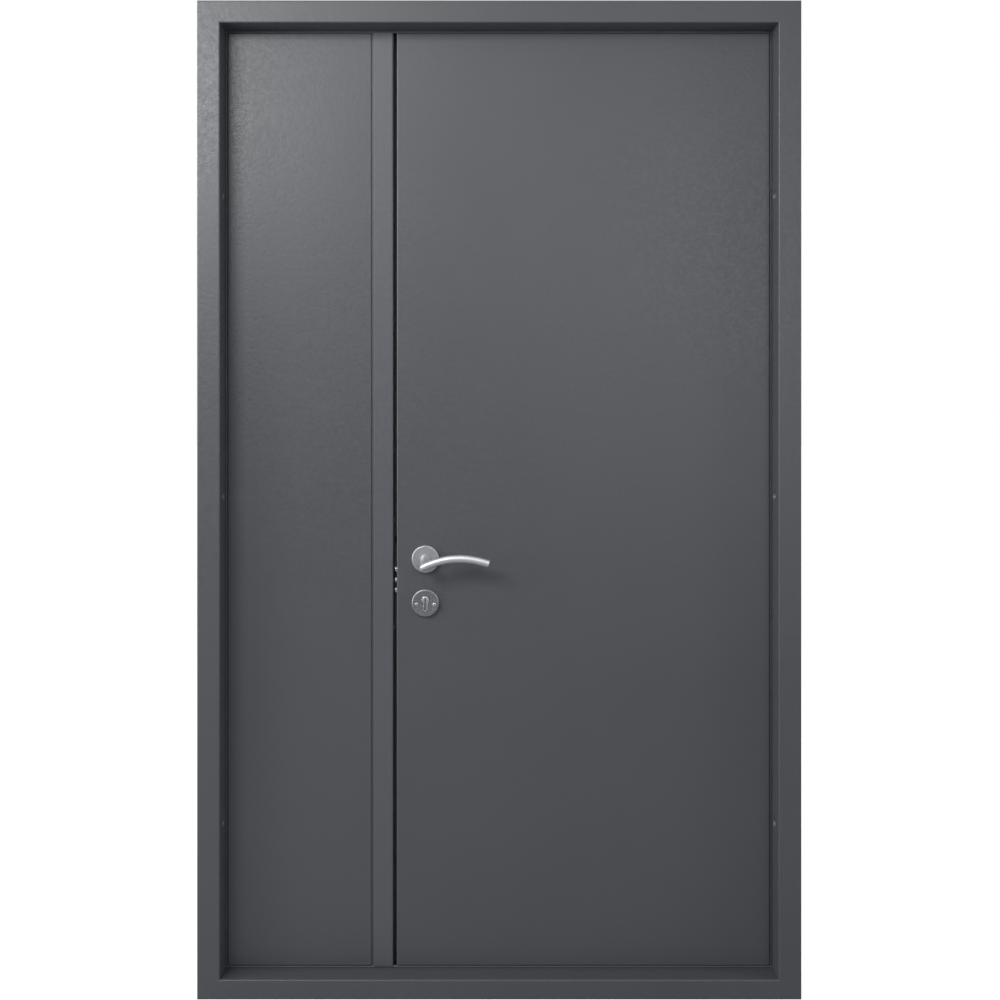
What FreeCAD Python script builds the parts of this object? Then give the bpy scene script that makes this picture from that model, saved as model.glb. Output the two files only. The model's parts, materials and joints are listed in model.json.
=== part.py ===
import FreeCAD, Part
import math
import os

# Leaf-and-a-half steel utility door, outward opening, seen from its inner side.
# Millimetres. +Z is up, +X to the right seen from inside, +Y points outwards.
# The origin is on the sill's underside, midway across the door and midway through the frame.

Vector = FreeCAD.Vector

# Frame
frame_width = 1240.0
frame_height = 2050.0
jamb_face = 47.0
head_face = 46.0
sill_face = 41.0
frame_sheet = 2.0
frame_bend = 3.0
wall_lip = 12.0
leaf_recess = 55.0

# Anchor dimples pressed into the jambs
anchor_above_floor = 351.0
anchor_above_spindle = 133.0
anchor_below_top = 395.0
anchor_from_inner_face = 38.0
dimple_mouth_r = 10.5
dimple_floor_r = 7.0
dimple_depth = 5.0
dimple_flank = 1.5
anchor_hole_r = 5.5

# Leaves
leaf_thickness = 40.0
tray_sheet = 1.5
skin_sheet = 1.5
leaf_bend = 3.0
jamb_gap = 5.0
end_gap = 5.0
meeting_gap = 7.5
passive_edge_x = -221.0
skin_overlap = 17.0

# Meeting stile on the passive leaf, let into a step of the tray's face
stile_width = 41.0
stile_sheet = 3.0
stile_bend = 3.0
stile_edge_r = 1.4
stile_groove = 4.8

# Frame seal and meeting seal
seal_width = 10.0
seal_thickness = 3.2
seal_running_gap = 0.3
seal_inset = 2.0
meeting_seal_height = 1.4
meeting_seal_width = 9.0

# Barrel hinges on the outer side
hinge_from_end = 300.0
knuckle_r = 8.0
knuckle_length = 60.0
knuckle_chamfer = 1.2
knuckle_split = 0.3
hinge_from_jamb_edge = 29.0
hinge_pin_r = 5.0
hinge_pin_play = 0.05
hinge_plate_sheet = 3.0
hinge_plate_reach = 36.0
hinge_foot_width = 22.0

# Lock
backset = 60.0
spindle_height = 898.0
spindle_to_plug = 85.0
plug_to_rose_centre = 6.5
case_depth = 88.0
case_thickness = 17.0
case_sheet = 1.5
case_above_spindle = 62.0
case_below_spindle = 128.0
faceplate_width = 24.0
faceplate_sheet = 3.0
faceplate_overrun = 30.0
lock_play = 0.3
bolt_stand = 5.1

# Latch and deadbolts
latch_above_spindle = 39.0
latch_stand = 5.1
latch_height = 14.0
latch_thickness = 11.0
latch_length = 38.0
latch_bevel = 7.0
latch_flat = 2.0
bolt_r = 6.0
bolt_chamfer = 1.0
bolt_above_plug = 17.0
bolt_pitch = 22.0
bolt_names = ("lower", "middle", "upper")
bolt_length = 34.0
bolt_throw = 14.5
carriage_sheet = 4.0
carriage_margin = 3.0
strike_play = 0.6

# Cylinder
cylinder_head_r = 8.5
cylinder_body_width = 10.0
cylinder_drop = 19.5
plug_r = 6.8
plug_recess = 0.6
keyway_width = 2.0
keyway_height = 8.5
keyway_depth = 12.0
cylinder_play = 0.4

# Roses
rose_r = 28.5
rose_height = 9.0
rose_edge = 2.2
rose_neck_play = 0.35
cylinder_rose_height = 8.0
cylinder_rose_rim = 5.5
cylinder_rose_recess = 2.4
cylinder_rose_play = 0.9

# Lever
spindle_side = 8.0
lever_projection = 50.0
lever_root_shift = 1.5
lever_crest_x = 73.2
lever_crest_z = 5.5
lever_arch_r = 175.0
lever_tip_x = 132.2
lever_tip_slant = -4.0
lever_root_r = 7.6
lever_mid_r = 8.2
lever_tip_r = 7.7
neck_r = 10.5
neck_collar = 12.0
spindle_in_neck = 14.0
follower_r = 9.0
follower_play = 0.05

# Planes worked out from the sizes above
half_width = frame_width / 2
frame_depth = leaf_recess + leaf_thickness - skin_sheet - seal_running_gap - seal_thickness
inner_face_y = -frame_depth / 2
outer_face_y = frame_depth / 2
jamb_x = half_width - jamb_face
opening_bottom = sill_face
opening_top = frame_height - head_face
leaf_inner_y = inner_face_y + leaf_recess
leaf_outer_y = leaf_inner_y + leaf_thickness
skin_inner_y = leaf_outer_y - skin_sheet
leaf_middle_y = (leaf_inner_y + leaf_outer_y) / 2
leaf_bottom = opening_bottom + end_gap
leaf_top = opening_top - end_gap
active_edge_x = passive_edge_x + meeting_gap
spindle_x = active_edge_x + backset
plug_height = spindle_height - spindle_to_plug
cylinder_rose_centre = plug_height - plug_to_rose_centre
bolt_heights = [plug_height + bolt_above_plug + i * bolt_pitch for i in range(3)]
anchor_heights = (anchor_above_floor, spindle_height + anchor_above_spindle, frame_height - anchor_below_top)
hinge_heights = {"lower": hinge_from_end, "upper": frame_height - hinge_from_end}
hinge_x = jamb_x + hinge_from_jamb_edge
hinge_y = outer_face_y + knuckle_r


def box(low, high):
    """A block between two corners."""
    size = [high[i] - low[i] for i in range(3)]
    return Part.makeBox(size[0], size[1], size[2], Vector(*low))


def rod(radius, start, end):
    """A round bar between two points."""
    axis = Vector(*end) - Vector(*start)
    return Part.makeCylinder(radius, axis.Length, Vector(*start), axis)


def edges_along(shape, direction):
    """The straight edges that run along one direction."""
    found = []
    for edge in shape.Edges:
        run = edge.lastVertex().Point - edge.firstVertex().Point
        if run.Length > 0 and abs(abs(run.normalize().dot(direction)) - 1) < 1e-6:
            found.append(edge)
    return found


def edges_at(shape, axis, value):
    """The edges that lie in one plane across an axis."""
    return [e for e in shape.Edges if all(abs(v.Point[axis] - value) < 1e-6 for v in e.Vertexes)]


def upright_edge(shape, x, y):
    """The upright edge that stands at one point of the plan."""
    upright = edges_along(shape, Vector(0, 0, 1))
    return [e for e in upright if abs(e.Vertexes[0].X - x) < 1e-6 and abs(e.Vertexes[0].Y - y) < 1e-6]


def mirrored_x(shape):
    return shape.mirror(Vector(0, 0, 0), Vector(1, 0, 0))


def mirrored_through_leaf(shape):
    return shape.mirror(Vector(0, leaf_middle_y, 0), Vector(0, 1, 0))


def save(shape, name):
    solids = shape.Solids
    body = solids[0] if len(solids) == 1 else Part.makeCompound(solids)
    body.exportStep("parts/" + name + ".step")


# Frame members: folded channels, open to the wall, mitred where they meet.
def folded_member(low, high, along, wall_axis, wall_side, closed):
    """A channel folded from sheet inside a block, with its lips on the wall side."""
    outside = box(low, high)
    outside = outside.makeFillet(frame_bend, edges_along(outside, along))
    inner_low = list(low)
    inner_high = list(high)
    inner_low[1] += frame_sheet
    inner_high[1] -= frame_sheet
    inner_low[wall_axis] += frame_sheet
    inner_high[wall_axis] -= frame_sheet
    hollow = box(inner_low, inner_high)
    hollow = hollow.makeFillet(frame_bend - frame_sheet, edges_along(hollow, along))
    member = outside.cut(hollow)
    if closed:
        return member
    mouth_low = list(inner_low)
    mouth_high = list(inner_high)
    mouth_low[1] = low[1] + wall_lip
    mouth_high[1] = high[1] - wall_lip
    if wall_side > 0:
        mouth_high[wall_axis] = high[wall_axis]
    else:
        mouth_low[wall_axis] = low[wall_axis]
    return member.cut(box(mouth_low, mouth_high))


def mitre_block(corners):
    """A block through the frame's depth whose outline is the member's mitred face."""
    points = [Vector(x, inner_face_y, z) for x, z in corners]
    face = Part.Face(Part.makePolygon(points + points[:1]))
    return face.extrude(Vector(0, frame_depth, 0))


def anchor_dimple(x_web, outward, height):
    """A conical pressing with a flat floor and the anchor's hole, and the disc it replaces."""
    rim_r = dimple_mouth_r + dimple_flank
    back_floor_r = dimple_floor_r + dimple_flank
    floor = dimple_depth + frame_sheet
    outline = [(0, rim_r), (0, dimple_mouth_r), (dimple_depth, dimple_floor_r),
               (dimple_depth, anchor_hole_r), (floor, anchor_hole_r), (floor, back_floor_r),
               (frame_sheet, rim_r)]
    y = inner_face_y + anchor_from_inner_face
    points = [Vector(x_web + outward * depth, y + r, height) for depth, r in outline]
    face = Part.Face(Part.makePolygon(points + points[:1]))
    pressing = face.revolve(Vector(x_web, y, height), Vector(1, 0, 0), 360)
    disc = rod(rim_r, (x_web, y, height), (x_web + outward * frame_sheet, y, height))
    return pressing, disc


outer_left_bottom = (-half_width, 0)
outer_left_top = (-half_width, frame_height)
outer_right_top = (half_width, frame_height)
outer_right_bottom = (half_width, 0)
inner_left_bottom = (-jamb_x, opening_bottom)
inner_left_top = (-jamb_x, opening_top)
inner_right_top = (jamb_x, opening_top)
inner_right_bottom = (jamb_x, opening_bottom)


def make_right_jamb():
    low = (jamb_x, inner_face_y, 0)
    high = (half_width, outer_face_y, frame_height)
    jamb = folded_member(low, high, Vector(0, 0, 1), 0, 1, False)
    corners = [outer_right_bottom, inner_right_bottom, inner_right_top, outer_right_top]
    jamb = jamb.common(mitre_block(corners))
    for height in anchor_heights:
        pressing, disc = anchor_dimple(jamb_x, 1, height)
        jamb = jamb.cut(disc).fuse(pressing)
    return jamb.removeSplitter()


def make_head():
    low = (-half_width, inner_face_y, opening_top)
    high = (half_width, outer_face_y, frame_height)
    head = folded_member(low, high, Vector(1, 0, 0), 2, 1, False)
    return head.common(mitre_block([outer_left_top, inner_left_top, inner_right_top, outer_right_top]))


def make_sill():
    low = (-half_width, inner_face_y, 0)
    high = (half_width, outer_face_y, sill_face)
    sill = folded_member(low, high, Vector(1, 0, 0), 2, -1, True)
    corners = [outer_left_bottom, inner_left_bottom, inner_right_bottom, outer_right_bottom]
    return sill.common(mitre_block(corners))


# Frame seals: flat rubber strips between the frame's outer face and the leaves' overlap.
def make_frame_seals():
    y0 = outer_face_y
    y1 = skin_inner_y - seal_running_gap
    inner_x = jamb_x + seal_inset
    outer_x = inner_x + seal_width
    top0 = opening_top + seal_inset
    top1 = top0 + seal_width
    bottom1 = opening_bottom - seal_inset
    bottom0 = bottom1 - seal_width
    right = box((inner_x, y0, bottom1), (outer_x, y1, top0))
    return {
        "right_frame_seal": right,
        "left_frame_seal": mirrored_x(right),
        "top_frame_seal": box((-outer_x, y0, top0), (outer_x, y1, top1)),
        "bottom_frame_seal": box((-outer_x, y0, bottom0), (outer_x, y1, bottom1)),
    }


# Hinges: the fixed half carries the pin, the moving half turns on it.
def make_hinge_frame_half(middle):
    foot = middle - knuckle_length
    knuckle = rod(knuckle_r, (hinge_x, hinge_y, foot), (hinge_x, hinge_y, middle))
    knuckle = knuckle.makeChamfer(knuckle_chamfer, edges_at(knuckle, 2, foot))
    plate_low = (hinge_x - knuckle_r, outer_face_y, foot)
    plate_high = (hinge_x - knuckle_r + hinge_foot_width, outer_face_y + hinge_plate_sheet, middle)
    pin = rod(hinge_pin_r, (hinge_x, hinge_y, middle), (hinge_x, hinge_y, middle + knuckle_length))
    return knuckle.fuse([box(plate_low, plate_high), pin]).removeSplitter()


def make_hinge_leaf_half(middle):
    start = middle + knuckle_split
    end = start + knuckle_length
    knuckle = rod(knuckle_r, (hinge_x, hinge_y, start), (hinge_x, hinge_y, end))
    knuckle = knuckle.makeChamfer(knuckle_chamfer, edges_at(knuckle, 2, end))
    plate_low = (hinge_x - hinge_plate_reach, leaf_outer_y, start)
    plate_high = (hinge_x, leaf_outer_y + hinge_plate_sheet, end)
    half = knuckle.fuse(box(plate_low, plate_high))
    bore_end = (hinge_x, hinge_y, middle + knuckle_length + hinge_pin_play)
    bore = rod(hinge_pin_r + hinge_pin_play, (hinge_x, hinge_y, middle), bore_end)
    return half.cut(bore).removeSplitter()


# Leaves: a folded tray towards the room, closed outside by a skin that overlaps the frame.
def make_tray(x0, x1):
    low = (x0, leaf_inner_y, leaf_bottom)
    high = (x1, skin_inner_y, leaf_top)
    outside = box(low, high)
    outside = outside.makeFillet(leaf_bend, edges_at(outside, 1, leaf_inner_y))
    t = tray_sheet
    hollow = box((x0 + t, leaf_inner_y + t, leaf_bottom + t), (x1 - t, skin_inner_y, leaf_top - t))
    hollow = hollow.makeFillet(leaf_bend - t, edges_at(hollow, 1, leaf_inner_y + t))
    return outside.cut(hollow)


def make_skin(x0, x1):
    low = (x0, skin_inner_y, opening_bottom - skin_overlap)
    return box(low, (x1, leaf_outer_y, opening_top + skin_overlap))


def cylinder_profile(play, y0, y1):
    """The keyhole-shaped bar of a profile cylinder, a little larger where it passes a hole."""
    r = cylinder_head_r + play
    half = cylinder_body_width / 2 + play
    foot = plug_height - cylinder_drop
    head = rod(r, (spindle_x, y0, plug_height), (spindle_x, y1, plug_height))
    body = box((spindle_x - half, y0, foot), (spindle_x + half, y1, plug_height))
    end = rod(half, (spindle_x, y0, foot), (spindle_x, y1, foot))
    return head.fuse([body, end]).removeSplitter()


def through_leaf(radius):
    start = (spindle_x, leaf_inner_y - rose_height, spindle_height)
    return rod(radius, start, (spindle_x, leaf_outer_y + rose_height, spindle_height))


faceplate_bottom = spindle_height - case_below_spindle - faceplate_overrun
faceplate_top = spindle_height + case_above_spindle + faceplate_overrun
latch_middle = spindle_height + latch_above_spindle


def faceplate_block(x0, x1):
    """A plate with half-round ends."""
    half = faceplate_width / 2
    lower = faceplate_bottom + half
    upper = faceplate_top - half
    block = box((x0, leaf_middle_y - half, lower), (x1, leaf_middle_y + half, upper))
    ends = [rod(half, (x0, leaf_middle_y, z), (x1, leaf_middle_y, z)) for z in (lower, upper)]
    return block.fuse(ends).removeSplitter()


def tongue_holes(x0, x1, play):
    """What the latch and the three bolts need to pass through a plate."""
    half_y = latch_thickness / 2 + play
    half_z = latch_height / 2 + play
    latch = box((x0, leaf_middle_y - half_y, latch_middle - half_z),
                (x1, leaf_middle_y + half_y, latch_middle + half_z))
    bolts = [rod(bolt_r + play, (x0, leaf_middle_y, z), (x1, leaf_middle_y, z)) for z in bolt_heights]
    return [latch] + bolts


def make_active_tray():
    tray = make_tray(active_edge_x, jamb_x - jamb_gap)
    holes = [through_leaf(neck_r + tray_sheet)]
    holes.append(cylinder_profile(cylinder_play, leaf_inner_y - tray_sheet, leaf_outer_y))
    holes.append(faceplate_block(active_edge_x - tray_sheet, active_edge_x + leaf_bend))
    return tray.cut(holes)


def make_active_skin():
    skin = make_skin(active_edge_x, jamb_x + skin_overlap)
    holes = [through_leaf(neck_r + skin_sheet)]
    holes.append(cylinder_profile(cylinder_play, leaf_inner_y, leaf_outer_y + skin_sheet))
    return skin.cut(holes)


stile_tray_x = passive_edge_x - stile_sheet
stile_start_x = passive_edge_x - stile_width
stile_back_y = leaf_inner_y + stile_sheet


def strike_window():
    half = faceplate_width / 2
    low = (passive_edge_x - faceplate_sheet, leaf_middle_y - half, faceplate_bottom)
    return box(low, (passive_edge_x + stile_sheet, leaf_middle_y + half, faceplate_top))


def strike_holes():
    depth = passive_edge_x - bolt_stand - bolt_throw
    return tongue_holes(depth, passive_edge_x + stile_sheet, strike_play)


def stepped_tray(x0, x1, step_x):
    """A tray whose face steps back beyond one line, to take the stile flush."""
    low = (x0, leaf_inner_y, leaf_bottom)
    outside = box(low, (x1, skin_inner_y, leaf_top))
    outside = outside.makeFillet(leaf_bend, edges_at(outside, 1, leaf_inner_y))
    outside = outside.cut(box((step_x, leaf_inner_y, leaf_bottom), (x1, stile_back_y, leaf_top)))
    outside = outside.makeFillet(stile_edge_r, upright_edge(outside, step_x, leaf_inner_y))
    t = tray_sheet
    hollow = box((x0 + t, leaf_inner_y + t, leaf_bottom + t), (x1 - t, skin_inner_y, leaf_top - t))
    hollow = hollow.makeFillet(leaf_bend - t, edges_at(hollow, 1, leaf_inner_y + t))
    hollow = hollow.cut(box((step_x - t, leaf_inner_y, leaf_bottom), (x1, stile_back_y + t, leaf_top)))
    return outside.cut(hollow)


def make_passive_tray():
    tray = stepped_tray(-(jamb_x - jamb_gap), stile_tray_x, stile_start_x - stile_groove)
    return tray.cut([strike_window()] + strike_holes())


def make_passive_stile():
    low = (stile_start_x, leaf_inner_y, leaf_bottom)
    outside = box(low, (passive_edge_x, skin_inner_y, leaf_top))
    outside = outside.makeFillet(stile_bend, upright_edge(outside, passive_edge_x, leaf_inner_y))
    outside = outside.makeFillet(stile_edge_r, upright_edge(outside, stile_start_x, leaf_inner_y))
    hollow = box((stile_start_x, stile_back_y, leaf_bottom), (stile_tray_x, skin_inner_y, leaf_top))
    return outside.cut([hollow, strike_window()])


def make_passive_skin():
    return make_skin(-(jamb_x + skin_overlap), passive_edge_x)


def make_strike_plate():
    half = faceplate_width / 2
    low = (passive_edge_x - faceplate_sheet, leaf_middle_y - half, faceplate_bottom)
    plate = box(low, (passive_edge_x, leaf_middle_y + half, faceplate_top))
    return plate.cut(strike_holes())


def make_meeting_seal():
    y1 = skin_inner_y
    low = (passive_edge_x, y1 - meeting_seal_width, leaf_bottom)
    seal = box(low, (passive_edge_x + meeting_seal_height, y1, leaf_top))
    return seal


# Lock case, faceplate, latch and bolts.
case_front_x = active_edge_x + faceplate_sheet
case_back_x = case_front_x + case_depth


def make_lock_case():
    half = case_thickness / 2
    z0 = spindle_height - case_below_spindle
    z1 = spindle_height + case_above_spindle
    case = box((case_front_x, leaf_middle_y - half, z0), (case_back_x, leaf_middle_y + half, z1))
    t = case_sheet
    hollow = box((case_front_x + t, leaf_middle_y - half + t, z0 + t),
                 (case_back_x - t, leaf_middle_y + half - t, z1 - t))
    holes = tongue_holes(case_front_x - t, case_front_x + 2 * t, lock_play)
    holes.append(cylinder_profile(cylinder_play, leaf_inner_y, leaf_outer_y))
    holes.append(through_leaf(follower_r + follower_play))
    return case.cut([hollow] + holes)


def make_faceplate():
    plate = faceplate_block(active_edge_x, case_front_x)
    overshoot = faceplate_sheet
    return plate.cut(tongue_holes(active_edge_x - overshoot, case_front_x + overshoot, lock_play))


def make_latch_bolt():
    """The spring latch. Its bevel faces the room, because the leaf closes towards the room."""
    tip_x = active_edge_x - latch_stand
    front_y = leaf_middle_y - latch_thickness / 2
    back_y = front_y + latch_thickness
    z0 = latch_middle - latch_height / 2
    outline = [(tip_x + latch_bevel, front_y), (tip_x + latch_length, front_y),
               (tip_x + latch_length, back_y), (tip_x, back_y), (tip_x, back_y - latch_flat)]
    points = [Vector(x, y, z0) for x, y in outline]
    latch = Part.Face(Part.makePolygon(points + points[:1])).extrude(Vector(0, 0, latch_height))
    return latch


bolt_tip_x = active_edge_x - bolt_stand


def make_deadbolts():
    bolts = {}
    for name, z in zip(bolt_names, bolt_heights):
        bolt = rod(bolt_r, (bolt_tip_x, leaf_middle_y, z), (bolt_tip_x + bolt_length, leaf_middle_y, z))
        bolts["deadbolt_" + name] = bolt.makeChamfer(bolt_chamfer, edges_at(bolt, 0, bolt_tip_x))
    back = bolt_tip_x + bolt_length
    half_y = bolt_r
    z0 = bolt_heights[0] - bolt_r - carriage_margin
    z1 = bolt_heights[-1] + bolt_r + carriage_margin
    bolts["bolt_carriage"] = box((back, leaf_middle_y - half_y, z0),
                                 (back + carriage_sheet, leaf_middle_y + half_y, z1))
    return bolts


# Cylinder with its plug and keyway.
cylinder_front_y = leaf_inner_y - cylinder_rose_height
cylinder_back_y = leaf_outer_y + cylinder_rose_height


def make_cylinder():
    body = cylinder_profile(0, cylinder_front_y, cylinder_back_y)
    plug_hole = rod(plug_r, (spindle_x, cylinder_front_y, plug_height),
                    (spindle_x, cylinder_back_y, plug_height))
    return body.cut(plug_hole)


def make_plug():
    y0 = cylinder_front_y + plug_recess
    y1 = cylinder_back_y - plug_recess
    plug = rod(plug_r, (spindle_x, y0, plug_height), (spindle_x, y1, plug_height))
    half = keyway_width / 2
    z0 = plug_height - keyway_height / 2
    z1 = plug_height + keyway_height / 2
    inside = box((spindle_x - half, y0, z0), (spindle_x + half, y0 + keyway_depth, z1))
    outside = box((spindle_x - half, y1 - keyway_depth, z0), (spindle_x + half, y1, z1))
    return plug.cut([inside, outside])


# Roses and levers, made on the inner side and mirrored through the leaf.
def rose_blank(height, thickness):
    front = leaf_inner_y - thickness
    blank = rod(rose_r, (spindle_x, front, height), (spindle_x, leaf_inner_y, height))
    return blank.makeFillet(rose_edge, edges_at(blank, 1, front))


def make_lever_rose():
    return rose_blank(spindle_height, rose_height).cut(through_leaf(neck_r + rose_neck_play))


def make_cylinder_rose():
    blank = rose_blank(cylinder_rose_centre, cylinder_rose_height)
    front = leaf_inner_y - cylinder_rose_height
    recess_start = (spindle_x, front, cylinder_rose_centre)
    recess_end = (spindle_x, front + cylinder_rose_recess, cylinder_rose_centre)
    recess = rod(rose_r - cylinder_rose_rim, recess_start, recess_end)
    return blank.cut([recess, cylinder_profile(cylinder_rose_play, front, leaf_inner_y)])


def ring(centre, normal, radius):
    return Part.Wire(Part.Circle(centre, normal, radius).toShape())


def half_space(point, normal, size):
    """A large block on the side of a plane that its normal points to."""
    block = Part.makeBox(size, size, size, Vector(-size / 2, -size / 2, 0))
    block.Placement = FreeCAD.Placement(point, FreeCAD.Rotation(Vector(0, 0, 1), normal))
    return block


def make_inside_lever():
    bar_y = leaf_inner_y - lever_projection
    crest = Vector(spindle_x + lever_crest_x, bar_y, spindle_height + lever_crest_z)
    centre = crest - Vector(0, 0, lever_arch_r)

    def on_arch(x):
        angle = math.asin((x - crest.x) / lever_arch_r)
        point = centre + Vector(math.sin(angle), 0, math.cos(angle)) * lever_arch_r
        return point, Vector(math.cos(angle), 0, -math.sin(angle))

    root, root_run = on_arch(spindle_x - lever_root_shift)
    start = root - root_run * (2 * lever_root_r)
    middle, middle_run = on_arch((root.x + crest.x) / 2)
    tip, tip_run = on_arch(spindle_x + lever_tip_x)
    slant = FreeCAD.Rotation(Vector(0, 1, 0), lever_tip_slant)
    rings = [ring(start, root_run, lever_root_r), ring(root, root_run, lever_root_r),
             ring(middle, middle_run, (lever_root_r + lever_mid_r) / 2),
             ring(*on_arch(crest.x), lever_mid_r), ring(tip, slant.multVec(tip_run), lever_tip_r)]
    bar = Part.makeLoft(rings, True)

    neck_start = Vector(spindle_x, leaf_inner_y, spindle_height)
    collar_end = neck_start - Vector(0, neck_collar, 0)
    down = (root - collar_end).normalize()
    neck_end = root + down * (2 * lever_root_r)
    collar = rod(neck_r, tuple(neck_start), tuple(collar_end))
    neck = Part.makeLoft([ring(collar_end, Vector(0, -1, 0), neck_r),
                          ring(root, down, lever_root_r),
                          ring(neck_end, down, lever_root_r)], True, True)
    mitre = Vector(1, -1, 0).normalize()
    reach = 4 * lever_projection
    bar = bar.common(half_space(root, mitre, reach))
    neck = neck.common(half_space(root, mitre * -1, reach))
    lever = bar.fuse([neck, collar]).removeSplitter()
    return lever.cut(make_spindle())


def make_spindle():
    half = spindle_side / 2
    y0 = leaf_inner_y - spindle_in_neck
    y1 = leaf_outer_y + spindle_in_neck
    return box((spindle_x - half, y0, spindle_height - half), (spindle_x + half, y1, spindle_height + half))


def make_follower():
    half = case_thickness / 2
    hub = rod(follower_r, (spindle_x, leaf_middle_y - half, spindle_height),
              (spindle_x, leaf_middle_y + half, spindle_height))
    return hub.cut(make_spindle())


os.makedirs("parts", exist_ok=True)

right_jamb = make_right_jamb()
pieces = {
    "right_jamb": right_jamb,
    "left_jamb": mirrored_x(right_jamb),
    "head": make_head(),
    "sill": make_sill(),
    "active_inner_tray": make_active_tray(),
    "active_outer_skin": make_active_skin(),
    "lock_case": make_lock_case(),
    "lock_faceplate": make_faceplate(),
    "lock_cylinder": make_cylinder(),
    "cylinder_plug": make_plug(),
    "latch_bolt": make_latch_bolt(),
    "passive_inner_tray": make_passive_tray(),
    "passive_meeting_stile": make_passive_stile(),
    "passive_outer_skin": make_passive_skin(),
    "strike_plate": make_strike_plate(),
    "meeting_seal": make_meeting_seal(),
    "spindle": make_spindle(),
    "lock_follower": make_follower(),
}
pieces.update(make_frame_seals())
pieces.update(make_deadbolts())
for name, middle in hinge_heights.items():
    frame_half = make_hinge_frame_half(middle)
    leaf_half = make_hinge_leaf_half(middle)
    pieces["right_" + name + "_hinge_frame_half"] = frame_half
    pieces["right_" + name + "_hinge_leaf_half"] = leaf_half
    pieces["left_" + name + "_hinge_frame_half"] = mirrored_x(frame_half)
    pieces["left_" + name + "_hinge_leaf_half"] = mirrored_x(leaf_half)
for name, shape in (("lever_rose", make_lever_rose()), ("cylinder_rose", make_cylinder_rose()),
                    ("lever", make_inside_lever())):
    pieces["inside_" + name] = shape
    pieces["outside_" + name] = mirrored_through_leaf(shape)

for name, shape in pieces.items():
    save(shape, name)
    print(name, len(shape.Solids), round(shape.Volume), shape.isValid())
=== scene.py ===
# %% [markdown]
# A steel utility door is dressed here: a wide active leaf and a narrow passive leaf in a folded frame.
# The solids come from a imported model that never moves. This file gives them their finishes, adds the
# small things that a maker would miss, and sets the camera and the studio.

# %% Load the fixed model
import json
import math

import bmesh
import bpy
from mathutils import Matrix, Vector


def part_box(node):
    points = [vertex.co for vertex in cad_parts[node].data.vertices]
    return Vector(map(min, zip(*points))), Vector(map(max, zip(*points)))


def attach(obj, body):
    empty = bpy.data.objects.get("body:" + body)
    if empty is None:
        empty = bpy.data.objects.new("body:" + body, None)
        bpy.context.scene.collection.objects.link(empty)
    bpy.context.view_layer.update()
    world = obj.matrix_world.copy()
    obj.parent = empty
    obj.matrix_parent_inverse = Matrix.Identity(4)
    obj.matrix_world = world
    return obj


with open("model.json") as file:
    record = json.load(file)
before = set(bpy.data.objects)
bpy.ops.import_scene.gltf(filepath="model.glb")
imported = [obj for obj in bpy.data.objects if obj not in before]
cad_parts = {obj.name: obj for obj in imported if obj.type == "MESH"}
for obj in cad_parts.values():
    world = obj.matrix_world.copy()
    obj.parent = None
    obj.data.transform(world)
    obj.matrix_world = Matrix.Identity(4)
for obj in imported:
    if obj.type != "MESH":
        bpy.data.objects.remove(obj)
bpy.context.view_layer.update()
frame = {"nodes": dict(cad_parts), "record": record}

MM = 0.001

# %% [markdown]
# Every new piece is placed from the boxes of the solids it belongs to, so nothing here repeats a place
# that the model already knows. The boxes that several steps share are read first, and the others where
# they are needed.

# %% Places read from the solids
jamb_low, jamb_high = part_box("right_jamb")
tray_low, tray_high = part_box("active_inner_tray")
key_rose_low, key_rose_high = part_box("inside_cylinder_rose")
key_rose_axis = (key_rose_low + key_rose_high) / 2
print("key rose axis", tuple(key_rose_axis), "frame front", jamb_low.y)

# %% [markdown]
# Blender works in linear light, while a colour chart gives sRGB hex. One function turns the one into
# the other. Another adds a shader node with its settings and links, which keeps each material short.

# %% Colour and node helpers
def linear(hex_code):
    """An sRGB hex colour as linear RGBA."""
    values = [int(hex_code[i:i + 2], 16) / 255 for i in (1, 3, 5)]
    return tuple(((v + 0.055) / 1.055) ** 2.4 if v > 0.04045 else v / 12.92 for v in values) + (1.0,)


def feed(node, links):
    """Links sources into a node's sockets, which go by name or by number."""
    for socket, source in dict(links).items():
        node.id_data.links.new(source, node.inputs[socket])


def add(tree, kind, settings=(), values=(), links=()):
    """A new node: its own settings, the values of its sockets, and what feeds them."""
    node = tree.nodes.new("ShaderNode" + kind)
    for name, value in dict(settings).items():
        setattr(node, name, value)
    for socket, value in dict(values).items():
        node.inputs[socket].default_value = value
    feed(node, links)
    return node


# %% [markdown]
# Each material starts in the same way, from a colour, a roughness and a metallic value on the shader
# itself. Its patterns hang on the object's own coordinates, which are metres here, so a noise whose
# lumps are so many millimetres across gets its scale from one division.

# %% Start of a material
# The colour sockets of the Mix node go by number, because its other kinds use the same names
MIX_FACTOR, MIX_FIRST, MIX_SECOND, MIX_RESULT = 0, 6, 7, 2


def new_material(name, roughness, metallic, colour):
    """A material with its node tree, its shader, and the place on the object to hang patterns on."""
    material = bpy.data.materials.new(name)
    material.use_nodes = True
    material.diffuse_color = linear(colour)
    tree = material.node_tree
    shader = tree.nodes["Principled BSDF"]
    shader.inputs["Roughness"].default_value = roughness
    shader.inputs["Metallic"].default_value = metallic
    shader.inputs["Base Color"].default_value = linear(colour)
    place = add(tree, "TexCoord").outputs["Object"]
    return material, tree, shader, place


def per_metre(millimetres):
    """The scale of a noise whose lumps are this large."""
    return 1.0 / (millimetres * MM)
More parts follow.
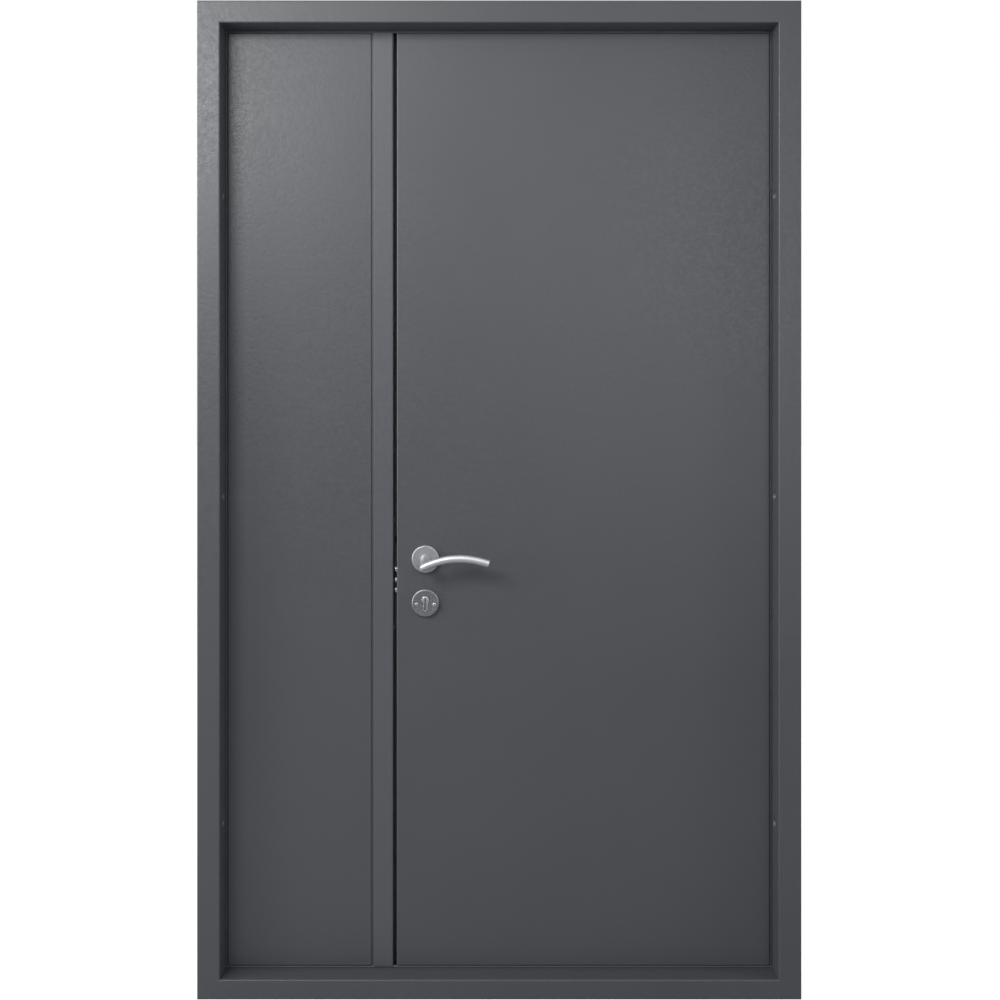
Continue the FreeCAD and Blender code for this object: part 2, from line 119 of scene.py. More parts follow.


# %% [markdown]
# The door's finish is polyester powder, sprayed dry on the welded steel and baked. The melt never
# levels quite flat, which leaves the orange peel: soft lumps that break the reflection of a lamp into
# a mottle. A picture of it would have to repeat over so large a door, so it is a noise in the bump, with
# a finer one for the grain. The tone drifts slowly, because the film isn't equally thick everywhere.
# The stile is a shade lighter than the leaves: painted light, for the brighter light that falls on it.

# %% Graphite powder coat
PEEL_MM = 8.0          # real orange peel is 2 to 3 mm, drawn coarser so that it shows from the camera
PEEL_HEIGHT = 0.28 * MM
GRAIN_MM = 1.1         # real grain is a few tenths of this, drawn coarser for the same reason
GRAIN_HEIGHT = 0.1 * MM
DRIFT_MM = 240.0
COAT_ROUGHNESS = 0.42
COAT_GLOSS_SPREAD = 0.05
COAT_IOR = 1.5


def powder_coat(name, colour, thin_colour):
    """A baked powder coat, with the colour that it has where the film is thinner."""
    material, tree, shader, place = new_material(name, COAT_ROUGHNESS, 0.0, colour)
    shader.inputs["IOR"].default_value = COAT_IOR
    drift = add(tree, "TexNoise", values={"Scale": per_metre(DRIFT_MM), "Detail": 3.0},
                links={"Vector": place})
    tone = add(tree, "Mix", {"data_type": "RGBA"},
               values={MIX_FIRST: linear(colour), MIX_SECOND: linear(thin_colour)},
               links={MIX_FACTOR: drift.outputs["Fac"]})
    peel = add(tree, "TexNoise", values={"Scale": per_metre(PEEL_MM), "Detail": 1.0, "Roughness": 0.4},
               links={"Vector": place})
    grain = add(tree, "TexNoise", values={"Scale": per_metre(GRAIN_MM), "Detail": 0.0},
                links={"Vector": place})
    gloss = add(tree, "MapRange", values={"From Min": 0.3, "From Max": 0.7,
                                          "To Min": COAT_ROUGHNESS - COAT_GLOSS_SPREAD,
                                          "To Max": COAT_ROUGHNESS + COAT_GLOSS_SPREAD},
                links={"Value": peel.outputs["Fac"]})
    fine = add(tree, "Bump", values={"Strength": 0.12, "Distance": GRAIN_HEIGHT},
               links={"Height": grain.outputs["Fac"]})
    lumps = add(tree, "Bump", values={"Strength": 1.0, "Distance": PEEL_HEIGHT},
                links={"Height": peel.outputs["Fac"], "Normal": fine.outputs["Normal"]})
    feed(shader, {"Base Color": tone.outputs[MIX_RESULT], "Roughness": gloss.outputs["Result"],
                  "Normal": lumps.outputs["Normal"]})
    return material


graphite_powder_coat = powder_coat("graphite_powder_coat", "#505154", "#4B4C4F")
# The stile's lighter colours are painted light, for the brighter light on it
stile_coat_painted_light = powder_coat("stile_coat_painted_light", "#56585B", "#515356")
print("powder coats:", graphite_powder_coat.name, "and", stile_coat_painted_light.name)

# %% [markdown]
# Most of the lock's metal is brushed. Brushing leaves fine grooves in one direction, so the highlight
# spreads across them and the edges stay crisp. Anisotropy on the shader could spread it too, but it
# follows directions on the mesh, which these triangles don't have. So a noise stretched far along one
# axis draws the grooves, in the bump and in the roughness, and a cloud mixes in the dull patches.

# %% Brushed metal
GROOVE_MM = 0.35       # real grooves are about 0.1 mm apart, drawn coarser so that they show
GROOVE_STRETCH = 40.0
GROOVE_HEIGHT = 0.05 * MM
GLOSS_BRIGHTER = 0.06
GLOSS_DULLER = 0.08
X_AXIS, Z_AXIS = 0, 2


def satin_metal(name, colour, patch_colour, roughness, along, strength, cloud_mm=12.0):
    """A brushed metal. along is the axis that the grooves follow, and the clouds are its dull patches."""
    material, tree, shader, place = new_material(name, roughness, 1.0, colour)
    stretch = [per_metre(GROOVE_MM)] * 3
    stretch[along] = per_metre(GROOVE_MM * GROOVE_STRETCH)
    scaled = add(tree, "VectorMath", {"operation": "MULTIPLY"}, values={1: stretch}, links={0: place})
    grooves = add(tree, "TexNoise", values={"Scale": 1.0, "Detail": 2.0},
                  links={"Vector": scaled.outputs["Vector"]})
    cloud = add(tree, "TexNoise", values={"Scale": per_metre(cloud_mm), "Detail": 3.0},
                links={"Vector": place})
    tone = add(tree, "Mix", {"data_type": "RGBA"},
               values={MIX_FIRST: linear(colour), MIX_SECOND: linear(patch_colour)},
               links={MIX_FACTOR: cloud.outputs["Fac"]})
    gloss = add(tree, "MapRange", values={"From Min": 0.25, "From Max": 0.75,
                                          "To Min": roughness - GLOSS_BRIGHTER,
                                          "To Max": roughness + GLOSS_DULLER},
                links={"Value": grooves.outputs["Fac"]})
    bump = add(tree, "Bump", values={"Strength": strength, "Distance": GROOVE_HEIGHT},
               links={"Height": grooves.outputs["Fac"]})
    feed(shader, {"Base Color": tone.outputs[MIX_RESULT], "Roughness": gloss.outputs["Result"],
                  "Normal": bump.outputs["Normal"]})
    return material


# %% [markdown]
# The levers, the roses, the cylinder and the deadbolts are nickel plated and brushed to a satin. The
# levers keep an even sheen under the hand. The faces of their roses are cloudier, and the cylinder is
# dull. The recessed key rose's darker colour is a painted dim reflection, mottled at random, and the
# bolts' paler colour is a painted highlight where the deep meeting gap shades them.

# %% Satin nickel, from the levers to the bolts
satin_nickel = satin_metal("satin_brushed_nickel", "#D6D6D8", "#C6C6C8",
                           roughness=0.50, along=X_AXIS, strength=0.2)
satin_nickel_rose = satin_metal("satin_nickel_face", "#CCCCCE", "#A0A0A3",
                                roughness=0.42, along=X_AXIS, strength=0.5, cloud_mm=5.0)
# The key rose's darker colours are a painted dim reflection, mottled at random
satin_nickel_painted_dim = satin_metal("satin_nickel_painted_dim", "#C2C2C4", "#6C6C6F",
                                roughness=0.38, along=Z_AXIS, strength=0.6, cloud_mm=3.0)
satin_nickel_dull = satin_metal("satin_nickel_dull", "#A9A9AB", "#7C7C7F",
                                roughness=0.36, along=Z_AXIS, strength=0.4, cloud_mm=4.0)
# The bolts' paler colours are a painted highlight, where the deep meeting gap shades them
bolt_nickel_painted_highlight = satin_metal("bolt_nickel_painted_highlight", "#E4E4E5", "#D2D2D4",
                            roughness=0.28, along=X_AXIS, strength=0.2)
print("levers take", satin_nickel.name, "and bolts", bolt_nickel_painted_highlight.name)

# %% [markdown]
# The faceplate, the strike plate, the latch and the works of the lock are zinc plated steel. It is a
# duller and bluer grey than the nickel, with the upright marks of the rolled strip it was cut from.

# %% Zinc plated steel
zinc_plate = satin_metal("zinc_plated_steel", "#9A9DA0", "#7F8283",
                         roughness=0.42, along=Z_AXIS, strength=0.35)
print("plates take", zinc_plate.name)

# %% [markdown]
# The seals are dark grey EPDM rubber, extruded. It is matt, a little paler where dust clings to it, and
# its skin is faintly pitted. The lip in the meeting gap is a paler grey, or else the deep gap would look
# quite black.

# %% Extruded rubber
RUBBER_ROUGHNESS = 0.62
DUST_MM = 30.0
PORE_MM = 0.8          # real pores are about 0.2 mm, drawn coarser so that they show
PORE_DEPTH = 0.1 * MM


def extruded_rubber(name, clean, dusty):
    """A matt rubber with fine pores, between its clean colour and its dusty one."""
    material, tree, shader, place = new_material(name, RUBBER_ROUGHNESS, 0.0, clean)
    dust = add(tree, "TexNoise", values={"Scale": per_metre(DUST_MM), "Detail": 4.0},
               links={"Vector": place})
    tone = add(tree, "Mix", {"data_type": "RGBA"},
               values={MIX_FIRST: linear(clean), MIX_SECOND: linear(dusty)},
               links={MIX_FACTOR: dust.outputs["Fac"]})
    pores = add(tree, "TexNoise", values={"Scale": per_metre(PORE_MM), "Detail": 2.0},
                links={"Vector": place})
    bump = add(tree, "Bump", values={"Strength": 0.2, "Distance": PORE_DEPTH},
               links={"Height": pores.outputs["Fac"]})
    feed(shader, {"Base Color": tone.outputs[MIX_RESULT], "Normal": bump.outputs["Normal"]})
    return material


grey_rubber = extruded_rubber("grey_extruded_rubber", "#4B4C4F", "#5A5B5D")
pale_rubber = extruded_rubber("pale_extruded_rubber", "#7E8083", "#8E9092")
print("rubbers:", grey_rubber.name, "and", pale_rubber.name)

# %% [markdown]
# The record says which finish each solid takes. The table below turns its slot names into the
# materials above, so a solid that is added later is dressed without a change here. A few pieces have a
# finish of their own, and go by their names.

# %% Dress the solids
FINISHES = {
    "graphite_powder_coat": graphite_powder_coat,
    "satin_nickel": satin_nickel,
    "zinc_plated_steel": zinc_plate,
    "grey_rubber": grey_rubber,
}
slot_of = {row["node"]: row["material_slot"] for row in frame["record"]["subparts"]}


def finish_of(name):
    """The finish that a solid has of its own, or else its slot's."""
    if name.endswith("lever_rose"):
        return satin_nickel_rose
    if name.endswith("cylinder_rose"):
        return satin_nickel_painted_dim
    if name in ("lock_cylinder", "cylinder_plug"):
        return satin_nickel_dull
    if name.startswith("deadbolt"):
        return bolt_nickel_painted_highlight
    if name == "passive_meeting_stile":
        return stile_coat_painted_light
    return FINISHES[slot_of[name]]


def give(piece, material):
    """The piece takes this material alone."""
    piece.data.materials.clear()
    piece.data.materials.append(material)


for name, node in frame["nodes"].items():
    give(node, finish_of(name))
print("dressed", len(frame["nodes"]), "solids")

# %% [markdown]
# CAD surfaces arrive as triangles. More of them would make the round bars round at a high price, and
# smooth shading everywhere would blur the folds. Smooth shading with a split at 30 degrees keeps round
# bars round and folded edges crisp.

# %% Smooth the round surfaces
SPLIT_ANGLE = math.radians(30)


def smooth(piece):
    """Shades a piece smooth, apart from its sharper edges."""
    mesh = piece.data
    mesh.polygons.foreach_set("use_smooth", [True] * len(mesh.polygons))
    mesh.set_sharp_from_angle(angle=SPLIT_ANGLE)


for node in frame["nodes"].values():
    smooth(node)
print("smoothed", sum(len(node.data.polygons) for node in frame["nodes"].values()), "triangles")

# %% [markdown]
# New pieces are meshes made in code. One helper turns a bmesh into an object. The other also gives it
# its finish and lets it ride on the body that carries it.

# %% Helpers for new pieces
def new_object(name, mesh_code):
    """A finished bmesh as an object of the scene."""
    mesh = bpy.data.meshes.new(name)
    mesh_code.to_mesh(mesh)
    mesh_code.free()
    piece = bpy.data.objects.new(name, mesh)
    bpy.context.scene.collection.objects.link(piece)
    return piece


def make_piece(name, mesh_code, material, body):
    """A new piece of the door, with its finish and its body."""
    piece = new_object(name, mesh_code)
    give(piece, material)
    smooth(piece)
    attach(piece, body)


# %% [markdown]
# Seals are extruded: one outline, run straight through a die. Here an outline is a list of points, each
# with its place across the run and its depth, and it is run up the door or across it.

# %% Extruded run
def run_along(outline, start, end, upright=True):
    """A closed outline run along the height, or else along the width. It lies in X and Y, or in Z and Y."""
    def corner(across, y, along):
        return (across, y, along) if upright else (along, y, across)

    code = bmesh.new()
    lower = [code.verts.new(corner(across, y, start)) for across, y in outline]
    upper = [code.verts.new(corner(across, y, end)) for across, y in outline]
    count = len(outline)
    for i in range(count):
        j = (i + 1) % count
        code.faces.new((lower[i], lower[j], upper[j], upper[i]))
    code.faces.new(list(reversed(lower)))
    code.faces.new(upper)
    bmesh.ops.recalc_face_normals(code, faces=code.faces)
    return code


# %% [markdown]
# A rubber lip closes the meeting gap at its outer side. On the real door it is an extruded fin that
# bends aside as the leaf swings. A flat strip would show no thickness at its edge, so it is a thin
# profile, thickest at its root and round at its tip. It runs up the full height of the outer skins,
# behind the sill and the head, so that no daylight shows at its ends.

# %% Meeting lip
LIP_CLEAR = 1.3 * MM
LIP_THICK = 1.6 * MM
LIP_NECK = 1.3 * LIP_THICK
LIP_ROOT = 2 * LIP_THICK
TIP_STEPS = 8
seal_low, seal_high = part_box("meeting_seal")
skin_low, skin_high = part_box("active_outer_skin")

tip_radius = LIP_THICK / 2
tip_x = tray_low.x - LIP_CLEAR - tip_radius
tip_y = seal_high.y - tip_radius
lip_outline = [(seal_low.x, seal_high.y - LIP_ROOT), (seal_low.x, seal_high.y)]
for step in range(TIP_STEPS + 1):
    turn = math.pi * (0.5 - step / TIP_STEPS)
    lip_outline.append((tip_x + tip_radius * math.cos(turn), tip_y + tip_radius * math.sin(turn)))
lip_outline.append((seal_high.x + LIP_THICK, seal_high.y - LIP_NECK))
lip_code = run_along(lip_outline, skin_low.z, skin_high.z)
make_piece("meeting_lip", lip_code, pale_rubber, "passive_leaf")
print("meeting lip,", round((tray_low.x - LIP_CLEAR - seal_low.x) / MM, 1), "mm wide")

# %% [markdown]
# A soft bulb in the frame fills most of the narrow gap round the leaves, so the gap reads as a soft grey
# line and not as a black slot. Only its front shows, so a whole tube would be wasted: the outline is a
# bow that swells towards the room over a flat back, run along each side of the frame.

# %% Gap bulbs round the leaves
BULB_DEPTH = 3.5 * MM
BULB_BOW = 1.4 * MM
BULB_THICK = 3.0 * MM
BULB_CLEAR = 0.5 * MM
BULB_STEPS = 10
passive_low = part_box("passive_inner_tray")[0]
left_jamb_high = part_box("left_jamb")[1]
head_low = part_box("head")[0]
sill_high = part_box("sill")[1]


def bulb_outline(seat, lip):
    """The bulb's section between its seat on the frame and its free edge at the leaf."""
    front = tray_low.y + BULB_DEPTH
    outline = [(seat, front + BULB_THICK), (seat, front)]
    for step in range(1, BULB_STEPS):
        share = step / BULB_STEPS
        outline.append((seat + (lip - seat) * share, front - BULB_BOW * math.sin(math.pi * share)))
    return outline + [(lip, front), (lip, front + BULB_THICK)]


bulbs = (
    ("left_gap_bulb", left_jamb_high.x, passive_low.x - BULB_CLEAR, tray_low.z, tray_high.z, True),
    ("right_gap_bulb", jamb_low.x, tray_high.x + BULB_CLEAR, tray_low.z, tray_high.z, True),
    ("top_gap_bulb", head_low.z, tray_high.z + BULB_CLEAR, left_jamb_high.x, jamb_low.x, False),
    ("bottom_gap_bulb", sill_high.z, tray_low.z - BULB_CLEAR, left_jamb_high.x, jamb_low.x, False),
)
for name, seat, lip, start, end, upright in bulbs:
    code = run_along(bulb_outline(seat, lip), start, end, upright)
    make_piece(name, code, grey_rubber, "frame")
print("gap filled by bulbs,", round((abs(jamb_low.x - tray_high.x) - BULB_CLEAR) / MM, 1), "mm wide")

# %% [markdown]
# Screw heads and the face of the lock's plug are low domes with grooves, as a lathe and a cutter
# leave them. The dome is a short outline turned round its middle. A boolean cuts the grooves, because
# their crisp edges are what shows of them.

# %% Domes with grooves
DOME_SIDES = 32
DOME_LEVELS = 5
DOME_TURN = 0.92 * math.pi / 2     # the dome stops short of a quarter turn, which leaves a small flat top


def low_dome(radius, height):
    """A dome whose rim lies at z = 0, with a skirt that goes as deep as the dome is high."""
    code = bmesh.new()
    rings = []
    for level in range(DOME_LEVELS + 1):
        share = level / DOME_LEVELS
        ring_radius = radius * math.cos(share * DOME_TURN)
        z = height * math.sin(share * math.pi / 2)
        turns = [2 * math.pi * i / DOME_SIDES for i in range(DOME_SIDES)]
        rings.append([code.verts.new((ring_radius * math.cos(turn), ring_radius * math.sin(turn), z))
                      for turn in turns])
    skirt = [code.verts.new((v.co.x, v.co.y, -height)) for v in rings[0]]
    for low, high in zip([skirt] + rings[:-1], rings):
        for i in range(DOME_SIDES):
            j = (i + 1) % DOME_SIDES
            code.faces.new((low[i], low[j], high[j], high[i]))
    code.faces.new(list(reversed(skirt)))
    code.faces.new(rings[-1])
    return code


def cut_grooves(piece, sizes, depth, top):
    """Cuts grooves of these lengths and widths through the middle, made as one thin cutter."""
    code = bmesh.new()
    for length, width in sizes:
        made = bmesh.ops.create_cube(code, size=1.0)
        bmesh.ops.scale(code, vec=(length, width, 2 * depth), verts=made["verts"])
        bmesh.ops.translate(code, vec=(0, 0, top), verts=made["verts"])
    cutter = new_object("cutter", code)
    cut = piece.modifiers.new("grooves", "BOOLEAN")
    cut.object = cutter
    cut.solver = "EXACT"
    cut.use_self = True
    bpy.context.view_layer.update()
    graph = bpy.context.evaluated_depsgraph_get()
    piece.data = bpy.data.meshes.new_from_object(piece.evaluated_get(graph))
    piece.modifiers.clear()
    bpy.data.objects.remove(cutter)


def grooved_dome(name, place, facing, turn, radius, dome, grooves, depth, material):
    """A low dome at a place that faces along a direction, with grooves turned by some degrees."""
    piece = new_object(name, low_dome(radius, dome))
    cut_grooves(piece, grooves, depth, dome)
    aim = Vector(facing).to_track_quat("Z", "Y").to_matrix().to_4x4()
    piece.data.transform(Matrix.Translation(place) @ aim @ Matrix.Rotation(math.radians(turn), 4, "Z"))
    give(piece, material)
    smooth(piece)
    return piece


# %% [markdown]
# Countersunk screws hold the key rose, the faceplate and the strike plate. Each head is such a dome
# with a cross recess. The crosses stand at odd turns, because a fitter stops when a screw is tight.

# %% Countersunk screws
HEAD_DOME = 1.1 * MM
CROSS_LONG = 4.4 * MM
CROSS_WIDE = 1.0 * MM
CROSS = ((CROSS_LONG, CROSS_WIDE), (CROSS_WIDE, CROSS_LONG))


def screw(name, place, facing, turn, body, radius):
    """A screw head at a place on a body."""
    head = grooved_dome(name, place, facing, turn, radius, HEAD_DOME, CROSS, HEAD_DOME, satin_nickel)
    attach(head, body)


# %% [markdown]
# The key rose has a recessed floor, and in it a screw on each side, a little below the key. Their
# places are worked out from the rose's middle and its front.

# %% Screws of the key rose
KEY_SCREW_OFFSET = 19.1 * MM
KEY_SCREW_DROP = 3.5 * MM
KEY_SCREW_RADIUS = 3.7 * MM
KEY_ROSE_RECESS = 2.4 * MM
key_screw_y = key_rose_low.y + KEY_ROSE_RECESS
key_screw_z = key_rose_axis.z - KEY_SCREW_DROP
for label, side, turn in (("left", -1, 20), ("right", 1, 65)):
    place = Vector((key_rose_axis.x + side * KEY_SCREW_OFFSET, key_screw_y, key_screw_z))
    screw("key_rose_screw_" + label, place, (0, -1, 0), turn, "active_leaf", KEY_SCREW_RADIUS)
print("key rose screws", round(2 * KEY_SCREW_OFFSET / MM, 1), "mm apart")

# %% [markdown]
# The faceplate on the active leaf and the strike plate on the passive one face each other across the
# meeting gap. Each has a screw near either end, and one loop sets all four.

# %% Screws of the faceplate and the strike plate
PLATE_SCREW_RADIUS = 3.7 * MM
PLATE_SCREW_INSET = 12 * MM
faceplate_low, faceplate_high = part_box("lock_faceplate")
strike_low, strike_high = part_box("strike_plate")
for label, low, high, facing, body, x in (
        ("faceplate", faceplate_low, faceplate_high, (-1, 0, 0), "active_leaf", faceplate_low.x),
        ("strike", strike_low, strike_high, (1, 0, 0), "passive_leaf", strike_high.x)):
    middle = (low.y + high.y) / 2
    for end, z, turn in (("lower", low.z + PLATE_SCREW_INSET, 35), ("upper", high.z - PLATE_SCREW_INSET, 10)):
        screw(label + "_screw_" + end, Vector((x, middle, z)), facing, turn, body, PLATE_SCREW_RADIUS)
    print(label, "screws", round((high.z - low.z - 2 * PLATE_SCREW_INSET) / MM, 1), "mm apart")

# %% [markdown]
# The lock cylinder's face has a bright bevel round its keyhole-shaped body, which catches the light as
# a fine line. A bevel modifier would round every edge of the solid, so it is a shallow bead swept round
# the body's outline: a round head, a straight neck and a round foot. The neck needs no points of its
# own, because it is what joins the head to the foot.

# %% Bevel round the cylinder's body
BEVEL_WIDTH = 1.5 * MM
BEVEL_HEIGHT = 0.5 * MM
BEVEL_MARGIN = 0.1 * MM
FOOT_RADIUS = 5.0 * MM
HEAD_STEPS = 36
FOOT_STEPS = 12
BEAD_STEPS = 6
cylinder_low, cylinder_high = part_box("lock_cylinder")
plug_low, plug_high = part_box("cylinder_plug")
plug_radius = (plug_high.x - plug_low.x) / 2
plug_z = (plug_low.z + plug_high.z) / 2


def cylinder_outline(inset):
    """The cylinder body's outline in X and Z, drawn inside its edge."""
    head_radius = cylinder_high.z - plug_z - inset
    foot_radius = FOOT_RADIUS - inset
    foot_z = cylinder_low.z + FOOT_RADIUS
    shoulder = math.asin(foot_radius / head_radius)
    outline = []
    for step in range(HEAD_STEPS + 1):
        turn = shoulder - math.pi / 2 + (2 * math.pi - 2 * shoulder) * step / HEAD_STEPS
        outline.append((head_radius * math.cos(turn), plug_z + head_radius * math.sin(turn)))
    for step in range(FOOT_STEPS + 1):
        turn = math.pi + math.pi * step / FOOT_STEPS
        outline.append((foot_radius * math.cos(turn), foot_z + foot_radius * math.sin(turn)))
    return [Vector((key_rose_axis.x + x, z)) for x, z in outline]


def bead_round(outline, face_y, out):
    """A half-round bead swept round a closed outline, standing out from a face."""
    code = bmesh.new()
    rings = []
    count = len(outline)
    for i, point in enumerate(outline):
        along = (outline[(i + 1) % count] - outline[i - 1]).normalized()
        aside = Vector((along.y, -along.x))
        ring = []
        for step in range(BEAD_STEPS + 1):
            turn = math.pi * step / BEAD_STEPS
            spot = point + aside * BEVEL_WIDTH / 2 * math.cos(turn)
            ring.append(code.verts.new((spot.x, face_y + out * BEVEL_HEIGHT * math.sin(turn), spot.y)))
        rings.append(ring)
    for ring, following in zip(rings, rings[1:] + rings[:1]):
        for i in range(BEAD_STEPS + 1):
            j = (i + 1) % (BEAD_STEPS + 1)
            code.faces.new((ring[i], ring[j], following[j], following[i]))
    bmesh.ops.recalc_face_normals(code, faces=code.faces)
    return code


bevel_outline = cylinder_outline(BEVEL_WIDTH / 2 + BEVEL_MARGIN)
print("cylinder", round((cylinder_high.z - cylinder_low.z) / MM, 1), "mm high, bevel of",
      len(bevel_outline), "points")

# %% [markdown]
# The plug, which the key turns, has a face that is turned on a lathe to a slight dome, with an upright
# slot for the key. It is the same kind of dome as a screw head, with one deep groove. Both sides of the
# cylinder get their bevel and their plug face.

# %% Bevels and plug faces of the lock cylinder
PLUG_DOME = 1.2 * MM
PLUG_EDGE = 0.3 * MM
KEYWAY = (8.5 * MM, 2.0 * MM)
KEYWAY_TURN = 90
for side, out, plug_y, face_y in (("inside", -1, plug_low.y, cylinder_low.y),
                                  ("outside", 1, plug_high.y, cylinder_high.y)):
    bead = bead_round(bevel_outline, face_y, out)
    make_piece(side + "_cylinder_bevel", bead, satin_nickel_rose, "active_leaf")
    plug_place = Vector((key_rose_axis.x, plug_y, plug_z))
    face = grooved_dome(side + "_plug_face", plug_place, (0, out, 0), KEYWAY_TURN, plug_radius - PLUG_EDGE,
                        PLUG_DOME, (KEYWAY,), 2 * PLUG_DOME, satin_nickel_rose)
    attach(face, "active_leaf")
print("plug face radius", round((plug_radius - PLUG_EDGE) / MM, 2), "mm")

# %% [markdown]
# A white surround as bright as it looks would flood the door with flat light. So only the camera and
# mirror-like rays see it as white. What it sheds on the door is much weaker and a little blue, and the
# lamps shape the light.

# %% Surround
SURROUND_LIGHT = 0.2
SURROUND_COLOUR = "#DDE8FF"
WHITE = "#FFFFFF"


def white_surround():
    """A world that is white to look at, and dim as a light."""
    world = bpy.data.worlds.new("surround")
    world.use_nodes = True
    tree = world.node_tree
    tree.nodes.clear()
    path = add(tree, "LightPath")
    seen = add(tree, "Math", {"operation": "MAXIMUM"},
               links={0: path.outputs["Is Camera Ray"], 1: path.outputs["Is Glossy Ray"]})
    shown = add(tree, "Math", {"operation": "MAXIMUM"},
                links={0: seen.outputs[0], 1: path.outputs["Is Transmission Ray"]})
    dim = add(tree, "Background", values={"Color": linear(SURROUND_COLOUR), "Strength": SURROUND_LIGHT})
    white = add(tree, "Background", values={"Color": linear(WHITE), "Strength": 1.0})
    mix = add(tree, "MixShader", links={0: shown.outputs[0], 1: dim.outputs[0], 2: white.outputs[0]})
    add(tree, "OutputWorld", links={"Surface": mix.outputs[0]})
    bpy.context.scene.world = world


white_surround()
print("surround sheds", SURROUND_LIGHT, "of its white")

# %% [markdown]
# The floor is a real pale surface, so that it takes the door's shadow, with a little glow for the
# camera's sake. The glow grows with the distance from the door, until the floor is as white as the
# surround and no horizon shows.

# %% Floor
FLOOR_REACH = 40.0
FLOOR_COLOUR = "#C0C0C0"
GLOW_NEAR = 0.86
GLOW_FAR = 1.0
GLOW_STARTS = 0.8
GLOW_ENDS = 3.0


def pale_floor():
    """A wide matt floor with its glow."""
    code = bmesh.new()
    bmesh.ops.create_grid(code, x_segments=1, y_segments=1, size=FLOOR_REACH)
    floor = new_object("floor", code)
    material = bpy.data.materials.new("pale_floor")
    material.use_nodes = True
    tree = material.node_tree
    tree.nodes.clear()
    path = add(tree, "LightPath")
    matt = add(tree, "BsdfDiffuse", values={"Color": linear(FLOOR_COLOUR)})
    glow = add(tree, "Emission", values={"Color": linear(WHITE)})
    spot = add(tree, "NewGeometry").outputs["Position"]
    reach = add(tree, "VectorMath", {"operation": "LENGTH"}, links={0: spot})
    glow_level = add(tree, "MapRange", values={"From Min": GLOW_STARTS, "From Max": GLOW_ENDS,
                                               "To Min": GLOW_NEAR, "To Max": GLOW_FAR},
                     links={"Value": reach.outputs["Value"]})
    level = add(tree, "Math", {"operation": "MULTIPLY"},
                links={0: path.outputs["Is Camera Ray"], 1: glow_level.outputs["Result"]})
    feed(glow, {"Strength": level.outputs[0]})
    both = add(tree, "AddShader", links={0: matt.outputs[0], 1: glow.outputs[0]})
    add(tree, "OutputMaterial", links={"Surface": both.outputs[0]})
    give(floor, material)


pale_floor()
print("floor reaches", FLOOR_REACH, "m each way")

# %% [markdown]
# Daylight falls in from the left. A sun lamp would light the whole door evenly, so all lamps are flat
# ones of a real size. The key lamp stands near the door's top left corner, so that corner is far
# brighter than the rest, and a slim lamp beside it makes the sheen on the paint there. A wide far lamp
# stands for the window: it lights the right reveal and leaves the left edge of the leaf in the frame's
# shadow. Weaker lamps fill the front, its lower right and the two reveals, and a small one, high up in
# line with the meeting gap, reaches the bolts.

# %% Lamps
WINDOW_LIGHT = "#F6F9FF"
ROOM_LIGHT = "#F8FAFF"

# Each row has a name, a place, what the lamp points at, its width and height, its watts and its colour
LAMPS = (
    ("key", (-1.5, -1.7, 2.3), (-0.3, 0.0, 1.3), (0.8, 0.8), 28.0, WHITE),
    ("corner", (-1.05, -2.1, 2.3), (-0.5, 0.0, 1.6), (0.3, 0.6), 7.0, WHITE),
    ("corner_high", (-0.9, -1.9, 2.6), (-0.5, 0.0, 1.6), (0.3, 1.0), 3.5, WHITE),
    ("lock_light", (-0.45, -2.4, 2.9), (-0.2, 0.0, 0.9), (0.25, 0.25), 4.0, WHITE),
    ("window", (-5.0, -2.5, 1.5), (0.0, 0.0, 1.0), (2.0, 2.5), 63.0, WINDOW_LIGHT),
    ("left_side", (-3.2, -0.9, 1.4), (0.3, 0.0, 1.0), (1.0, 1.6), 27.0, WINDOW_LIGHT),
    ("right_side", (2.8, -0.8, 1.3), (-0.3, 0.0, 1.1), (0.8, 1.6), 16.0, WINDOW_LIGHT),
    ("front", (0.9, -3.4, 2.2), (0.3, 0.0, 1.1), (1.2, 1.2), 16.5, ROOM_LIGHT),
    ("front_low", (1.1, -2.6, 1.2), (0.5, 0.0, 0.9), (1.2, 1.2), 5.5, ROOM_LIGHT),
    ("back_left", (-2.2, 2.8, 2.6), (0.0, 0.0, 1.1), (1.2, 1.2), 45.0, WHITE),
)


def area_lamp(name, place, target, size, watts, colour):
    """A flat lamp at a place that points at a target."""
    data = bpy.data.lights.new(name, "AREA")
    data.shape = "RECTANGLE"
    data.size, data.size_y = size
    data.energy = watts
    data.color = linear(colour)[:3]
    lamp = bpy.data.objects.new(name, data)
    lamp.location = place
    lamp.rotation_euler = (Vector(target) - Vector(place)).to_track_quat("-Z", "Y").to_euler()
    bpy.context.scene.collection.objects.link(lamp)


for lamp in LAMPS:
    area_lamp(*lamp)
print(len(LAMPS), "lamps")

# %% [markdown]
# A grey wall behind the camera, which only reflections see, keeps the metal's front from being lit by
# the white surround.

# %% Wall behind the camera
WALL_Y = -6.0
WALL_REACH = 7.0
WALL_HEIGHT = 5.0
WALL_ROUGHNESS = 0.9
WALL_COLOUR = "#9A9C9F"


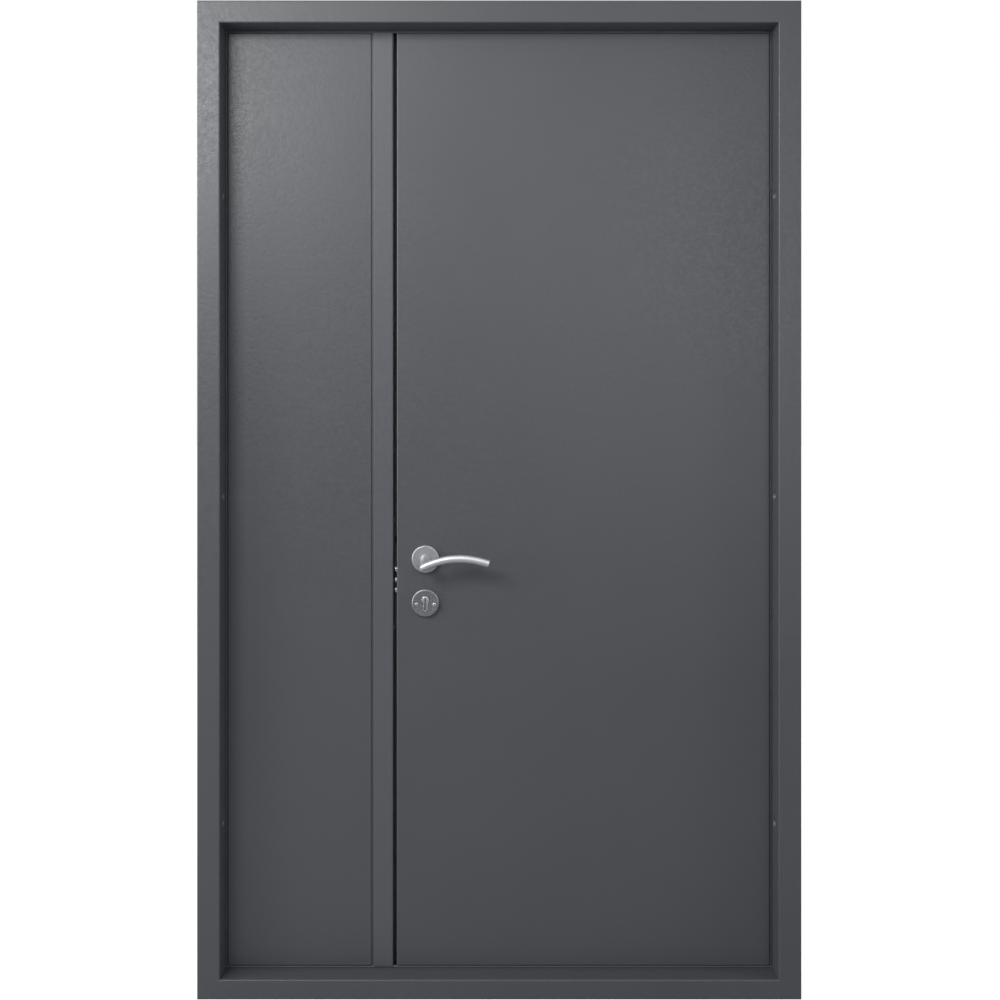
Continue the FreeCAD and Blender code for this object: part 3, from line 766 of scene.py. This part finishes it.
def rear_wall():
    """An upright grey plane that neither the camera nor a shadow shows."""
    code = bmesh.new()
    corners = [(-WALL_REACH, WALL_Y, 0), (WALL_REACH, WALL_Y, 0),
               (WALL_REACH, WALL_Y, WALL_HEIGHT), (-WALL_REACH, WALL_Y, WALL_HEIGHT)]
    code.faces.new([code.verts.new(corner) for corner in corners])
    wall = new_object("rear_wall", code)
    give(wall, new_material("grey_wall", WALL_ROUGHNESS, 0.0, WALL_COLOUR)[0])
    wall.visible_camera = False
    wall.visible_shadow = False


rear_wall()
print("wall", -WALL_Y, "m in front of the door")

# %% [markdown]
# The camera stands square to the door. Its distance comes from how much smaller the leaf, which lies
# deeper, looks than the frame. The picture's centre isn't in front of the lens, so a small shift
# frames it.

# %% Camera
IMAGE_PX = 1000
MM_PER_PX = 2.05           # at the frame's face
CAMERA_DISTANCE = 2.628
CAMERA_X = -0.0497
LENS_PX_X = 475.0          # the pixel straight ahead of the lens, from the picture's left
LENS_PX_Y = 410.0          # and from its top
SENSOR_MM = 36.0

data = bpy.data.cameras.new("camera")
data.sensor_width = SENSOR_MM
data.lens = SENSOR_MM * CAMERA_DISTANCE / (IMAGE_PX * MM_PER_PX * MM)
data.shift_x = (IMAGE_PX / 2 - LENS_PX_X) / IMAGE_PX
data.shift_y = -(IMAGE_PX / 2 - LENS_PX_Y) / IMAGE_PX
camera = bpy.data.objects.new("camera", data)
centre_z = (jamb_low.z + jamb_high.z) / 2
camera.location = (CAMERA_X, jamb_low.y - CAMERA_DISTANCE,
                   centre_z - data.shift_y * IMAGE_PX * MM_PER_PX * MM)
camera.rotation_euler = (math.radians(90), 0, 0)
bpy.context.scene.collection.objects.link(camera)
bpy.context.scene.camera = camera
print("camera at", tuple(round(v, 4) for v in camera.location), "lens", round(data.lens, 2))

# %% [markdown]
# The standard view transform shows each colour about as it is written above.

# %% Finish
bpy.context.scene.view_settings.view_transform = "Standard"
